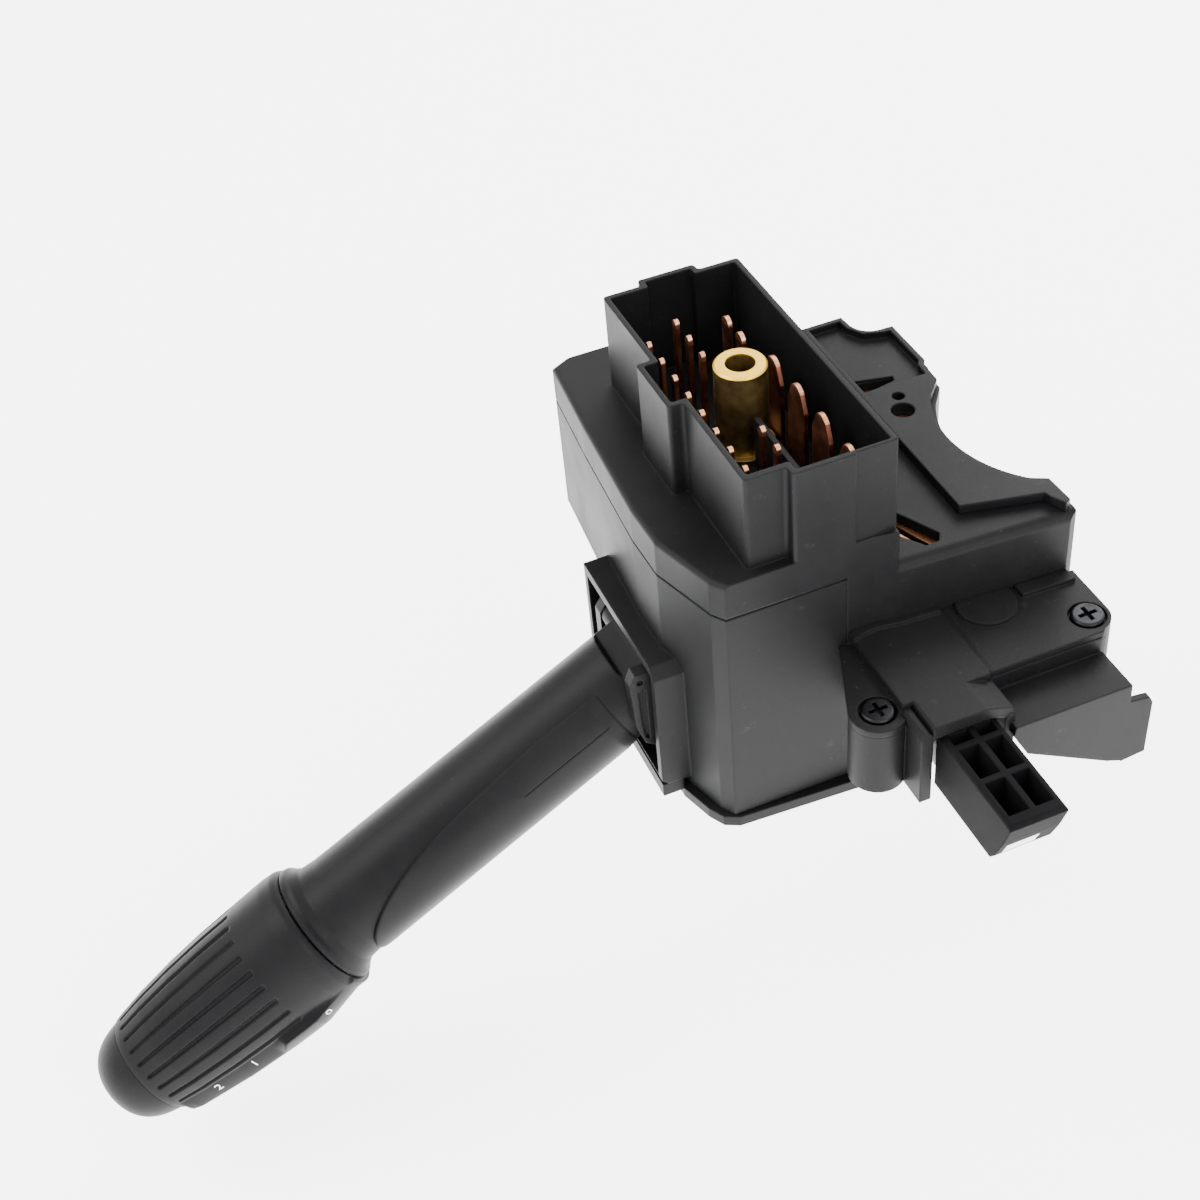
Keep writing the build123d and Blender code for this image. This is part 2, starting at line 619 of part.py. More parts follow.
# Stalk lever: hollow rod with a collar, root knuckle on the tilt pin
with BuildPart() as stalk_lever:
    with BuildSketch(stalk_plane()):
        Polygon((-8, 0), (-8, rod_root_r), (rod_length - 4, rod_tip_r),
                (rod_length - 0.8, rod_tip_r + 0.3), (rod_length + 0.7, rod_tip_r + 1.2),
                (rod_length + 1.4, rod_tip_r + 2.0), (rod_length + 2.2, rod_tip_r + 2.2),
                (rod_length + 2.2, 0), align=None)
    revolve(axis=stalk_axis)
    add(stalk_leaf.part)
    # lower neck behind the end of the round skin
    with BuildSketch(stalk_plane()):
        Polygon((-14, 7.4), (-1.4, 7.4), (-1.0, 8.2), (-1.0, 12), (-14, 12), align=None)
    extrude(amount=14, both=True, mode=Mode.SUBTRACT)
    # the underside is shallower near the root, behind a step
    with BuildSketch(stalk_plane(180)):
        Polygon((-12, 6.8), (12.2, 6.8), (13.8, 11), (-12, 11), align=None)
    extrude(amount=14, both=True, mode=Mode.SUBTRACT)
    # moulding line along the side
    with BuildSketch(stalk_plane(-72)):
        Polygon((3, 10.15), (26, 10.35), (26, 12), (3, 12), align=None)
    extrude(amount=0.12, both=True, mode=Mode.SUBTRACT)
    # root face, leaning so that it stands upright at the end of the flash stroke
    with BuildSketch(Plane.YZ.offset(post_x)):
        Polygon((-53.3, 5.0), (-53.3 - 33 * tan(radians(flash_deg)), -28), (-30, -28), (-30, 5),
                align=None)
    extrude(amount=16, both=True, mode=Mode.SUBTRACT)
    with BuildSketch(Plane.YZ.offset(post_x)):
        with Locations((pin_y, pin_z)):
            Circle(2.4)
    extrude(amount=cheek_in - 0.2, both=True)
    with BuildSketch(Plane.YZ.offset(post_x)):
        with Locations((pin_y, pin_z)):
            Circle(pin_r + running_gap)
    extrude(amount=20, both=True, mode=Mode.SUBTRACT)
    with BuildSketch(stalk_square(plug_from)):
        Circle(6.7)
    extrude(amount=40, mode=Mode.SUBTRACT)
stalk_lever.part.label = "stalk_lever"
export_step(stalk_lever.part, "parts/stalk_lever.step")

# Flash plunger that pushes the root of the stalk back
with BuildPart() as flash_plunger:
    with BuildSketch(Plane.YZ.offset(post_x + 6.0)):
        with BuildLine():
            Polyline((-55.57, -14), (-49.8, -14), (-49.8, -11.8), (-53.37, -11.8))
            CenterArc((-53.37, -14), 2.2, 90, 90)
        make_face()
    revolve(axis=Axis((post_x + 6.0, 0, -14), (0, 1, 0)))
flash_plunger.part.label = "flash_plunger"
export_step(flash_plunger.part, "parts/flash_plunger.step")

# Light knob: fluted sleeve with a raised mark pad, its hub turns inside the stalk
knob_line = [(1.3, 13.26), (3.9, 13.46), (11.7, 13.3), (19.5, 13.1), (27.3, 12.6),
             (35.1, 11.75), (42.0, 10.53)]
with BuildPart() as light_knob:
    with BuildSketch(knob_plane()):
        with BuildLine():
            Polyline((-22.8, 0), (-22.8, 6.6), (0, 6.6), (0, 12.35), (1.3, 13.26))
            Spline(*knob_line)
            Polyline((42.0, 10.53), (42.0, 9.0), (5.2, 9.0), (5.2, 0), (-22.8, 0))
        make_face()
    revolve(axis=stalk_axis)
    for number in range(flute_count):
        angle = 7.8 - 360.0 / flute_count * number
        if not (-162 < angle < -98):
            with BuildSketch(knob_plane(angle)):
                with BuildLine():
                    Polyline((10.9, 15), (10.9, 13.9), (12.5, 12.8), (19.5, 12.6),
                             (27.3, 12.05), (33.2, 11.45), (39.6, 10.35), (40.8, 10.2),
                             (40.8, 15), (10.9, 15))
                make_face()
            extrude(amount=flute_r, both=True, mode=Mode.SUBTRACT)
    with BuildSketch(knob_plane(-157.5)):
        Polygon((2, 10), (2, 13.46), (10.2, 14.95), (13.2, 14.95), (18.2, 14.8), (28, 14.04),
                (34.2, 13.26), (39.2, 12.74), (41, 12.2), (41, 9.6), align=None)
    revolve(axis=stalk_axis, revolution_arc=55)
light_knob.part.label = "light_knob"
export_step(light_knob.part, "parts/light_knob.step")

# End cap pressed into the knob
with BuildPart() as knob_cap:
    with BuildSketch(knob_plane()):
        with BuildLine():
            Polyline((35.2, 0), (35.2, 8.95), (42.0, 8.95), (42.0, 10.14), (42.6, 10.14))
            Spline((42.6, 10.14), (46.5, 9.2), (48.9, 7.8), (50.5, 5.8), (51.3, 3.4),
                   (51.55, 0))
            Line((51.55, 0), (35.2, 0))
        make_face()
    revolve(axis=stalk_axis)
knob_cap.part.label = "knob_cap"
export_step(knob_cap.part, "parts/knob_cap.step")

# Contact plug fixed in the stalk and the wiper disc on the end of the knob hub
with BuildPart() as stalk_contacts:
    with BuildSketch(stalk_square(plug_from)):
        Circle(6.7)
    extrude(amount=4.6)
stalk_contacts.part.label = "stalk_contacts"
export_step(stalk_contacts.part, "parts/stalk_contacts.step")
with BuildPart() as knob_wiper:
    with BuildSketch(stalk_square(plug_from + 4.8)):
        Circle(6.3)
        with PolarLocations(4.0, 3):
            Circle(0.9, mode=Mode.SUBTRACT)
    extrude(amount=1.2)
knob_wiper.part.label = "knob_wiper"
export_step(knob_wiper.part, "parts/knob_wiper.step")

# Cancel pawl in the column side, its nose reaches into the column bay
with BuildPart() as cancel_pawl:
    range_box(6.6, 12.4, -14, 4.0, 3.05, 5.75)
    with BuildSketch(Plane.XY.offset(3.05)):
        Polygon((6.6, 3.9), (12.4, 3.9), (12.4, 6.6), (10.4, 8.2), (8.6, 8.2), (6.6, 6.6),
                align=None)
    extrude(amount=2.7)
cancel_pawl.part.label = "cancel_pawl"
export_step(cancel_pawl.part, "parts/cancel_pawl.step")

# Hazard housing: box on the front wall, sleeve sides for the button, screw bosses, side block
with BuildPart() as hazard_housing:
    with BuildSketch(Plane.XY.offset(-8.2)):
        Polygon((32.0, -24.2), (32.0, -20.5), (32.8, -16.6), (34.46, 13), (hazard_x, 13),
                (hazard_x, -24.2), align=None)
    extrude(amount=8.2 + side_plate_z - plate_thick)
    with BuildSketch(Plane.XY.offset(-8.2)):
        Polygon((32.0, -24.2), (32.0, -20.5), (32.8, -16.6), (33.2, -8.9), (hazard_x, -8.9),
                (hazard_x, -24.2), align=None)
    extrude(amount=8.2 + hazard_top_z - plate_thick)
    with BuildSketch(Plane.XY.offset(-7.8)):
        with Locations(screw_a):
            Circle(4.9)
        with Locations((screw_a[0] - 0.5, -25.5)):
            Rectangle(5.0, 4)
    extrude(amount=7.8 + lobe_plate_z - plate_thick)
    with BuildSketch(Plane.XY.offset(-7.8)):
        with Locations(screw_b):
            Circle(4.0)
    extrude(amount=7.8 + side_plate_z - lobe_thick)
    # sleeve sides, open below and above
    with BuildSketch(Plane.YZ.offset(hazard_x - 1)):
        Polygon((-25.5, -8.2), (-25.5, 6.4), (-24.9, 7.4), (-24.0, 7.4), (-23.4, 6.8),
                (-23.4, -8.2), align=None)
        Polygon((-9.9, -8.2), (-9.9, 4.6), (-9.3, 5.6), (-8.2, 4.9), (-8.2, -8.2), align=None)
    extrude(amount=57.85 - hazard_x + 1)
    range_box(hazard_x - 1.5, 50.95, -25.6, -23.35, lobe_plate_z - plate_thick, 9, Mode.SUBTRACT)
    # side block, hollow behind, with a thin tab on its face
    with BuildSketch(Plane.YZ.offset(hazard_x)):
        Polygon((-8.8, 3.25), (13.3, 3.25), (13.3, -15.0), (10.1, -13.65), (-6.2, -4.0),
                (-9.1, 1.56), align=None)
    extrude(amount=59.4 - hazard_x)
    with BuildSketch(Plane.YZ.offset(58.1)):
        Polygon((13.0, -0.65), (17.2, -1.3), (17.9, -2.7), (17.7, -14.6), (13.0, -15.1),
                align=None)
    extrude(amount=1.3)
    with BuildSketch(Plane.YZ.offset(hazard_x - 3)):
        Polygon((-5.6, 2.0), (12.0, 2.0), (12.0, -13.2), (10.4, -12.2), (-5.6, -2.8), align=None)
    extrude(amount=58.1 - hazard_x + 3, mode=Mode.SUBTRACT)
    # room for the slider and its way out between the sleeve sides
    range_box(36.2, hazard_x - 1.6, -22.4, 11.4, -6.6, 10, Mode.SUBTRACT)
    range_box(hazard_x - 3, 60, -23.4, -9.9, -9, 12, Mode.SUBTRACT)
    with BuildSketch(Plane.XY.offset(side_plate_z - lobe_thick)):
        with Locations(screw_b):
            Circle(4.0)
    extrude(amount=3, mode=Mode.SUBTRACT)
    with BuildSketch(Plane.XY.offset(-7.8)):
        with Locations(screw_a, screw_b):
            Circle(1.4)
    extrude(amount=20, mode=Mode.SUBTRACT)
hazard_housing.part.label = "hazard_housing"
export_step(hazard_housing.part, "parts/hazard_housing.step")

# Hazard cover: raised channel over the button, side plate with a disc and a ledge,
# lower screw plate, a bead along the wall
with BuildPart() as hazard_cover:
    with BuildSketch(Plane.XY.offset(hazard_top_z - plate_thick)):
        Polygon((32.0, -25.2), (32.0, -20.5), (32.8, -16.6), (33.2, -8.9), (50.9, -8.9),
                (50.9, -25.2), align=None)
    extrude(amount=plate_thick)
    range_box(33.6, 50.9, -25.2, -24.2, lobe_plate_z - plate_thick, hazard_top_z)
    # roof between the sleeve sides
    with BuildSketch(Plane.YZ.offset(hazard_x)):
        Polygon((-23.35, 5.4), (-23.35, 8.1), (-23.0, hazard_top_z), (-13.6, hazard_top_z),
                (-8.6, 6.7), (-8.6, 5.4), (-9.2, 5.7), (-10.0, 4.9), (-12.6, 5.95),
                (-22.6, 5.95), (-22.9, 5.4), align=None)
    extrude(amount=57.85 - hazard_x)
    # side plate and its sloping joint to the channel
    with BuildSketch(Plane.XY.offset(side_plate_z - plate_thick)):
        Polygon((33.2, -8.9), (34.6, 15.5), (34.7, 16.9), (45.6, 16.9), (50.2, 13.3),
                (50.2, -8.9), align=None)
    extrude(amount=plate_thick)
    with BuildSketch(Plane.YZ.offset(33.6)):
        Polygon((-13.0, hazard_top_z), (-8.9, hazard_top_z), (-7.6, side_plate_z - 0.05),
                (-8.9, side_plate_z - 0.6), (-13.0, side_plate_z), align=None)
    extrude(amount=50.2 - 33.6)
    with BuildSketch(Plane.XY.offset(side_plate_z - lobe_thick)):
        with Locations(screw_b):
            Circle(4.0)
    extrude(amount=lobe_thick)
    range_box(36.2, hazard_x, -8.9, 9.0, 0, side_plate_z - plate_thick, Mode.SUBTRACT)
    # lower plate round the first screw
    with BuildSketch(Plane.XY.offset(lobe_plate_z - plate_thick)):
        Polygon((33.0, -25.0), (32.2, -27.2), (47.4, -33.3), (screw_a[0], -25.0), align=None)
        with Locations(screw_a):
            Circle(4.9)
        with Locations((40, -20.2)):
            Rectangle(40, 8.0, mode=Mode.SUBTRACT)
    extrude(amount=plate_thick)
    range_box(50.95, 60, -25.55, -23.4, 0, 12, Mode.SUBTRACT)
    # bead along the wall, disc and ledge
    with BuildSketch(Plane.XY.offset(hazard_top_z)):
        Polygon((32.0, -25.2), (34.2, -25.2), (33.5, -23.0), (33.3, -20.4), (34.0, -16.6),
                (34.5, -8.9), (33.2, -8.9), (32.8, -16.6), (32.0, -20.5), align=None)
    extrude(amount=0.6)
    with BuildSketch(Plane.XY.offset(side_plate_z)):
        with Locations((35.9, -1.0)):
            Circle(5.3)
        Polygon((34.2, 5.6), (37.0, 5.6), (37.4, 15.7), (34.6, 15.5), align=None)
        Polygon((20, -21), (32.0, -20.5), (32.8, -16.6), (34.6, 15.5), (20, 16), align=None,
                mode=Mode.SUBTRACT)
    extrude(amount=0.8)
    for spot, top_z in ((screw_a, lobe_plate_z), (screw_b, side_plate_z)):
        with BuildSketch(Plane.XY.offset(top_z - 0.8)):
            with Locations(spot):
                Circle(3.3)
        extrude(amount=3, mode=Mode.SUBTRACT)
    with BuildSketch(Plane.XY.offset(0)):
        with Locations(screw_a, screw_b):
            Circle(1.6)
    extrude(amount=20, mode=Mode.SUBTRACT)
hazard_cover.part.label = "hazard_cover"
export_step(hazard_cover.part, "parts/hazard_cover.step")

# Two cross-head screws sunk in the cover
with BuildPart() as hazard_screws:
    for spot, top_z in ((screw_a, lobe_plate_z), (screw_b, side_plate_z)):
        with BuildSketch(Plane.XY.offset(top_z - 0.8)):
            with Locations(spot):
                Circle(2.9)
        extrude(amount=1.2)
        fillet(hazard_screws.faces().filter_by_position(Axis.Z, top_z + 0.35, top_z + 0.45)
               .edges(), 0.5)
        with BuildSketch(Plane.XY.offset(top_z - 9.0)):
            with Locations(spot):
                Circle(1.4)
        extrude(amount=8.3)
        with BuildSketch(Plane.XY.offset(top_z - 0.5)):
            with Locations(spot):
                Rectangle(3.4, 0.75)
                Rectangle(0.75, 3.4)
        extrude(amount=2, mode=Mode.SUBTRACT)
hazard_screws.part.label = "hazard_screws"
export_step(hazard_screws.part, "parts/hazard_screws.step")

# Hazard button: shell with six pockets open upwards and a slanted end
with BuildPart() as hazard_button:
    with BuildSketch(Plane.YZ.offset(55.6)):
        with Locations((button_y, -1.775)):
            RectangleRounded(10.4, 12.65, 0.8)
    extrude(amount=25)
    with BuildSketch(Plane.XZ.offset(-button_y)):
        Polygon((55.6, 4.6), (77.9, 4.6), (78.5, 3.8), (76.7, -1.3), (74.6, -6.0),
                (73.4, -7.5), (71.8, -8.2), (55.6, -8.2), align=None)
    extrude(amount=6, both=True, mode=Mode.INTERSECT)
    for near_y, wide in ((-12.2, 3.3), (-16.6, 3.7)):
        with BuildSketch(Plane.XZ.offset(-near_y)):
            Polygon((68.6, 5), (76.2, 5), (74.2, -2.5), (72.4, -6.0), (68.6, -6.0), align=None)
            Polygon((60.5, 5), (67.4, 5), (67.4, -6.0), (60.5, -6.0), align=None)
            Polygon((57.0, 5), (59.3, 5), (59.3, -6.0), (57.0, -6.0), align=None)
        extrude(amount=wide, mode=Mode.SUBTRACT)
hazard_button.part.label = "hazard_button"
export_step(hazard_button.part, "parts/hazard_button.step")

# Slider behind the button with a pocket for its spring
with BuildPart() as hazard_slider:
    range_box(43.0, 55.6, -20.0, -12.5, -6.2, 3.4)
    with BuildSketch(Plane.YZ.offset(42)):
        with Locations((button_y, -1.4)):
            Circle(2.6)
    extrude(amount=11, mode=Mode.SUBTRACT)
hazard_slider.part.label = "hazard_slider"
export_step(hazard_slider.part, "parts/hazard_slider.step")

# Return spring of the button, held in the slider pocket
hazard_spring = coil_spring(Plane((41.7, button_y, -1.4), z_dir=(1, 0, 0)), 11.0, 2.1, 0.6, 6)
hazard_spring.label = "hazard_spring"
export_step(hazard_spring, "parts/hazard_spring.step")

# Copper bridge under the slider and the fixed contacts on the hazard floor
with BuildPart() as hazard_bridge:
    range_box(45, 52, -18.6, -13.9, 3.4, 3.8)
    range_box(46, 47.2, -18.6, -13.9, 3.8, 4.6)
hazard_bridge.part.label = "hazard_bridge"
export_step(hazard_bridge.part, "parts/hazard_bridge.step")
with BuildPart() as hazard_contacts:
    for middle in (-21.2, -11.0, -9.0):
        range_box(37.0, 47.5, middle - 0.7, middle + 0.7, -6.6, -6.2)
hazard_contacts.part.label = "hazard_contacts"
export_step(hazard_contacts.part, "parts/hazard_contacts.step")
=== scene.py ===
import bpy
import numpy as np
from math import radians, sin, cos
from mathutils import Matrix, Vector


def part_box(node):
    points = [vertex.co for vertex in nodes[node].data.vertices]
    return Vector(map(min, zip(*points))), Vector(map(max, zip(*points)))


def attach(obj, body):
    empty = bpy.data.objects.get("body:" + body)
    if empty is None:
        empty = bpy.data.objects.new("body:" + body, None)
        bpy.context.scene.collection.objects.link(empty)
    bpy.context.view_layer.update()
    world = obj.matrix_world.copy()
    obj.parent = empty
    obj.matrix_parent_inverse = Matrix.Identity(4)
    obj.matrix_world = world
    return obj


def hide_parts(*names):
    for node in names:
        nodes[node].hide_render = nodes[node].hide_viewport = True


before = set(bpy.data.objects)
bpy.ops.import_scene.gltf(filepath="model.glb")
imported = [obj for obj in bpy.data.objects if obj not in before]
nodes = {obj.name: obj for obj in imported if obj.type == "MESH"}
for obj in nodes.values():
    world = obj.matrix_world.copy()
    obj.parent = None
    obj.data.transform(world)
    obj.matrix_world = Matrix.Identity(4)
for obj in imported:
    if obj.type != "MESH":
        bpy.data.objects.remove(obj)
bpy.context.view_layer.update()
print("frame loaded:", len(nodes), "nodes")


# One shader output; arithmetic on it adds Math nodes
class Wire:
    def __init__(self, tree, out):
        self.tree, self.out = tree, out

    def math(self, operation, *values, clamp=False):
        node = self.tree.nodes.new("ShaderNodeMath")
        node.operation = operation
        node.use_clamp = clamp
        for place, value in zip(node.inputs, values):
            feed(self.tree, value, place)
        return Wire(self.tree, node.outputs[0])

    def __add__(self, other):
        return self.math("ADD", self, other)

    def __radd__(self, other):
        return self.math("ADD", other, self)

    def __sub__(self, other):
        return self.math("SUBTRACT", self, other)

    def __rsub__(self, other):
        return self.math("SUBTRACT", other, self)

    def __mul__(self, other):
        return self.math("MULTIPLY", self, other)

    def __rmul__(self, other):
        return self.math("MULTIPLY", other, self)

    def __gt__(self, other):
        return self.math("GREATER_THAN", self, other)

    def __lt__(self, other):
        return self.math("LESS_THAN", self, other)

    def clip(self):
        return self.math("ADD", self, 0.0, clamp=True)


# Puts a value or a wire into a socket; a colour of three numbers gets its alpha
def feed(tree, value, place):
    if isinstance(value, Wire):
        tree.links.new(value.out, place)
    elif isinstance(value, (tuple, list)) and len(value) == 3 and place.type == "RGBA":
        place.default_value = (*value, 1.0)
    else:
        place.default_value = value


# A material under construction
class Finish:
    def __init__(self, name):
        self.material = bpy.data.materials.new(name)
        self.material.use_nodes = True
        self.tree = self.material.node_tree
        self.shader = self.tree.nodes["Principled BSDF"]
        self.place = self.node("ShaderNodeTexCoord", out="Object")

    # Any node: its settings first, then the values or wires of its sockets
    def node(self, kind, settings=None, inputs=None, out=0):
        made = self.tree.nodes.new(kind)
        for key, value in (settings or {}).items():
            setattr(made, key, value)
        for key, value in (inputs or {}).items():
            feed(self.tree, value, made.inputs[key])
        return Wire(self.tree, made.outputs[out])

    def noise(self, scale, detail=3.0, rough=0.5, stretch=(1, 1, 1), twist=0.0):
        spot = self.node("ShaderNodeMapping", inputs={"Vector": self.place, "Scale": stretch})
        return self.node("ShaderNodeTexNoise", inputs={
            "Vector": spot, "Scale": scale, "Detail": detail, "Roughness": rough,
            "Distortion": twist})

    def blend(self, factor, first, second):
        return self.node("ShaderNodeMix", {"data_type": "RGBA"},
                         {0: factor, 6: first, 7: second}, out=2)

    def set(self, **values):
        for key, value in values.items():
            feed(self.tree, value, self.shader.inputs[key.replace("_", " ")])

    # Rounds the edges for the eye and lays the grain over them
    def relief(self, height, strength, depth, edge):
        soft = self.node("ShaderNodeBevel", {"samples": 4}, {"Radius": edge})
        bump = self.node("ShaderNodeBump", None, {
            "Height": height, "Strength": strength, "Distance": depth, "Normal": soft})
        self.set(Normal=bump)


# Moulded plastic: fine spark grain, faint flow clouds, and dust and specks that look rubbed.
# A spot shows where its noise is above From, as strongly as Gain says
plastic = {
    "toneFrom": 0.35, "toneGain": 2.2, "dustScale": 6, "dustFrom": 0.66, "dustGain": 6.0,
    "dustShare": 0.6, "speckScale": 0.3, "speckFrom": 0.74, "speckGain": 12.0,
    "rubGloss": 0.08, "grainDepth": 0.00006,
}


def mouldedPlastic(name, look):
    made = Finish(name)
    grain = made.noise(look["grain"], 2.0, 0.6)
    clouds = made.noise(look["clouds"], 4.0, 0.6)
    dust = made.noise(look["clouds"] * plastic["dustScale"], 3.0, 0.7, twist=0.4)
    specks = made.noise(look["grain"] * plastic["speckScale"], 1.0)
    rub = (((dust - plastic["dustFrom"]) * plastic["dustGain"]).clip() * plastic["dustShare"]
           + ((specks - plastic["speckFrom"]) * plastic["speckGain"]).clip())
    tone = ((clouds - plastic["toneFrom"]) * plastic["toneGain"]).clip()
    colour = made.blend(tone, look["dark"], look["light"])
    colour = made.blend(rub * look["rub"], colour, look["rubbed"])
    made.set(Base_Color=colour, Specular_IOR_Level=look["shine"],
             Roughness=look["rough"] + tone * look["roughSwing"] - rub * plastic["rubGloss"])
    made.relief(grain, look["relief"], plastic["grainDepth"], look["edge"])
    return made.material


# Bare metal: drawn streaks along Z, tarnish clouds, and painted shade: between two heights the
# sides take a darker colour for shade and dark reflections, what lies above and below stays
# bright
metal = {
    "drawn": (1.0, 1.0, 0.06), "clouds": 260.0, "tarnishFrom": 0.42, "tarnishGain": 3.0,
    "tarnishRough": 0.12, "streakRough": 0.1, "streakDepth": 0.00003,
}


def bareMetal(name, look):
    made = Finish(name)
    streaks = made.noise(look["streaks"], 2.0, 0.5, stretch=metal["drawn"])
    clouds = made.noise(metal["clouds"], 4.0, 0.6)
    tarnish = ((clouds - metal["tarnishFrom"]) * metal["tarnishGain"]).clip()
    colour = made.blend(tarnish * look["tarnish"], look["bright"], look["dull"])
    # Painted shade: between the two heights the colour is darker, standing in for shade and dark
    # reflections on the sides
    if "paintedShadeFrom" in look:
        height = made.node("ShaderNodeSeparateXYZ", None, {0: made.place}, out=2)
        dark = (height > look["paintedShadeFrom"]) * (height < look["paintedShadeTo"])
        shade = made.blend(tarnish, look["sideDull"], look["side"])
        colour = made.blend(dark, colour, shade)
    made.set(Base_Color=colour, Metallic=1.0,
             Roughness=(look["rough"] + tarnish * metal["tarnishRough"]
                        + streaks * metal["streakRough"]))
    made.relief(streaks, look["relief"], metal["streakDepth"], look["edge"])
    return made.material


def paint(material, *names):
    for name in names:
        thing = nodes[name]
        thing.data.materials.clear()
        thing.data.materials.append(material)


# A mesh object from vertices and two kinds of faces. Where the sum of a . (b x c) over its
# triangles, six times its volume, is negative, its faces are turned to point outwards
sharpAngle = radians(38)


def shape(name, body, vertices, quads, triangles, material):
    corners = np.concatenate([triangles, quads[:, :3], quads[:, [0, 2, 3]]])
    a, b, c = (vertices[corners[:, k]] for k in range(3))
    if np.einsum("ij,ij->", a, np.cross(b, c)) < 0:
        quads, triangles = quads[:, ::-1], triangles[:, ::-1]
    mesh = bpy.data.meshes.new(name)
    mesh.from_pydata(vertices.tolist(), [], quads.tolist() + triangles.tolist())
    mesh.polygons.foreach_set("use_smooth", np.ones(len(mesh.polygons), dtype=bool))
    mesh.set_sharp_from_angle(angle=sharpAngle)
    mesh.materials.append(material)
    piece = bpy.data.objects.new(name, mesh)
    bpy.context.collection.objects.link(piece)
    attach(piece, body)
    return piece


# Stalk axis: a point at the housing frame, its direction, and the two directions across it
stalkYaw, stalkDrop = radians(1.2), radians(28.0)
stalkRoot = np.array([0.0052, -0.0572, -0.01196])
stalkOut = np.array([sin(stalkYaw) * cos(stalkDrop), -cos(stalkYaw) * cos(stalkDrop),
                     -sin(stalkDrop)])
stalkUp = np.array([sin(stalkYaw) * sin(stalkDrop), -cos(stalkYaw) * sin(stalkDrop),
                    cos(stalkDrop)])
stalkSide = np.cross(stalkOut, stalkUp)


# Points at a distance along the stalk, a radius and an angle from straight up, in mm and degrees:
# root + along * out + radius * (up * cos angle + side * sin angle)
def aboutStalk(along, radius, angle):
    turned = np.radians(angle)[..., None]
    across = stalkUp * np.cos(turned) + stalkSide * np.sin(turned)
    return stalkRoot + 0.001 * (along[..., None] * stalkOut + radius[..., None] * across)


# 3 t^2 - 2 t^3, where t is the value's share of the way from low to high, held to 0 and 1
def smoothStep(value, low, high):
    part = np.clip((value - low) / (high - low), 0.0, 1.0)
    return part * part * (3.0 - 2.0 * part)


# Plastics of the housing, stalk, button, knob, sliding inner pieces and contact boards
housing = {
    "dark": (0.0045, 0.0045, 0.005), "light": (0.009, 0.009, 0.0095),
    "rubbed": (0.07, 0.07, 0.07), "grain": 5200.0, "clouds": 45.0, "rub": 0.3, "rough": 0.4,
    "roughSwing": 0.16, "shine": 0.1, "relief": 0.5, "edge": 0.0005,
}
stalk = dict(housing, dark=(0.004, 0.004, 0.0045), light=(0.008, 0.008, 0.0085), rub=0.1,
             rough=0.36, grain=4200.0, edge=0.0006)
button = dict(stalk, shine=0.03, rough=0.55)
knob = dict(stalk, rough=0.38, grain=3600.0, edge=0.0003)
nylon = dict(housing, dark=(0.55, 0.54, 0.5), light=(0.66, 0.65, 0.6), rubbed=(0.4, 0.39, 0.36),
             grain=3000.0)
board = dict(housing, dark=(0.12, 0.08, 0.035), light=(0.18, 0.12, 0.05), rubbed=(0.3, 0.2, 0.1))
paint(mouldedPlastic("mouldedHousing", housing), "lower_housing", "upper_cover", "bottom_cover",
      "column_plate", "hazard_housing", "hazard_cover", "turn_carrier")
paint(mouldedPlastic("satinStalk", stalk), "stalk_lever")
paint(mouldedPlastic("satinButton", button), "hazard_button")
knobPlastic = mouldedPlastic("satinKnob", knob)
paint(knobPlastic, "light_knob", "knob_cap")
paint(mouldedPlastic("naturalNylon", nylon), "hazard_slider", "detent_plunger", "flash_plunger",
      "detent_track", "cancel_pawl")
paint(mouldedPlastic("phenolicBoard", board), "contact_board", "stalk_contacts")


# Height of a node's top, less the bright tip, a painted highlight, left above its painted shade
def belowTop(name, tip):
    return float(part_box(name)[1][2]) - tip


# Metals of the bush, contacts, pins, blades, springs and screws
# The bush's sides and bore are painted darker between its flange and top ring, as painted shade
# and painted reflection; the bright flange and ring are a painted highlight
brass = {"bright": (0.82, 0.52, 0.06), "dull": (0.66, 0.42, 0.05), "tarnish": 0.4, "rough": 0.3,
         "streaks": 1400.0, "relief": 0.15, "edge": 0.00015, "side": (0.5, 0.36, 0.13),
         "sideDull": (0.32, 0.23, 0.09), "paintedShadeFrom": 0.0212,
         "paintedShadeTo": belowTop("connector_bush", 0.0004)}
copper = {"bright": (0.5, 0.22, 0.12), "dull": (0.22, 0.09, 0.05), "tarnish": 0.6, "rough": 0.3,
          "streaks": 2400.0, "relief": 0.15, "edge": 0.0002}
# The pins and blades are painted darker below their tips: painted shade on the sides, and the
# bright tips a painted highlight
pinCopper = dict(copper, side=(0.46, 0.19, 0.11), sideDull=(0.28, 0.11, 0.07),
                 bright=(0.66, 0.33, 0.19), paintedShadeFrom=-1.0, paintedShadeTo=belowTop("signal_pins", 0.0007))
bladeCopper = dict(pinCopper, paintedShadeTo=belowTop("power_blades", 0.0006))
steel = {"bright": (0.62, 0.62, 0.62), "dull": (0.35, 0.34, 0.33), "tarnish": 0.4, "rough": 0.28,
         "streaks": 2400.0, "relief": 0.1, "edge": 0.00012}
blackSteel = {"bright": (0.02, 0.02, 0.022), "dull": (0.008, 0.008, 0.008), "tarnish": 0.6,
              "rough": 0.26, "streaks": 2400.0, "relief": 0.1, "edge": 0.00025}
paint(bareMetal("turnedBrass", brass), "connector_bush")
paint(bareMetal("copperStrip", copper), "deck_contacts", "tray_contact", "plate_contact",
      "carrier_wiper", "turn_contacts", "knob_wiper", "hazard_bridge", "hazard_contacts")
paint(bareMetal("copperPins", pinCopper), "signal_pins", "middle_pins", "back_pins")
paint(bareMetal("copperBlades", bladeCopper), "power_blades")
paint(bareMetal("springSteel", steel), "pivot_post", "tilt_pin", "detent_spring", "flash_spring",
      "hazard_spring")
paint(bareMetal("blackenedSteel", blackSteel), "bottom_screws", "hazard_screws")
print("finishes laid")

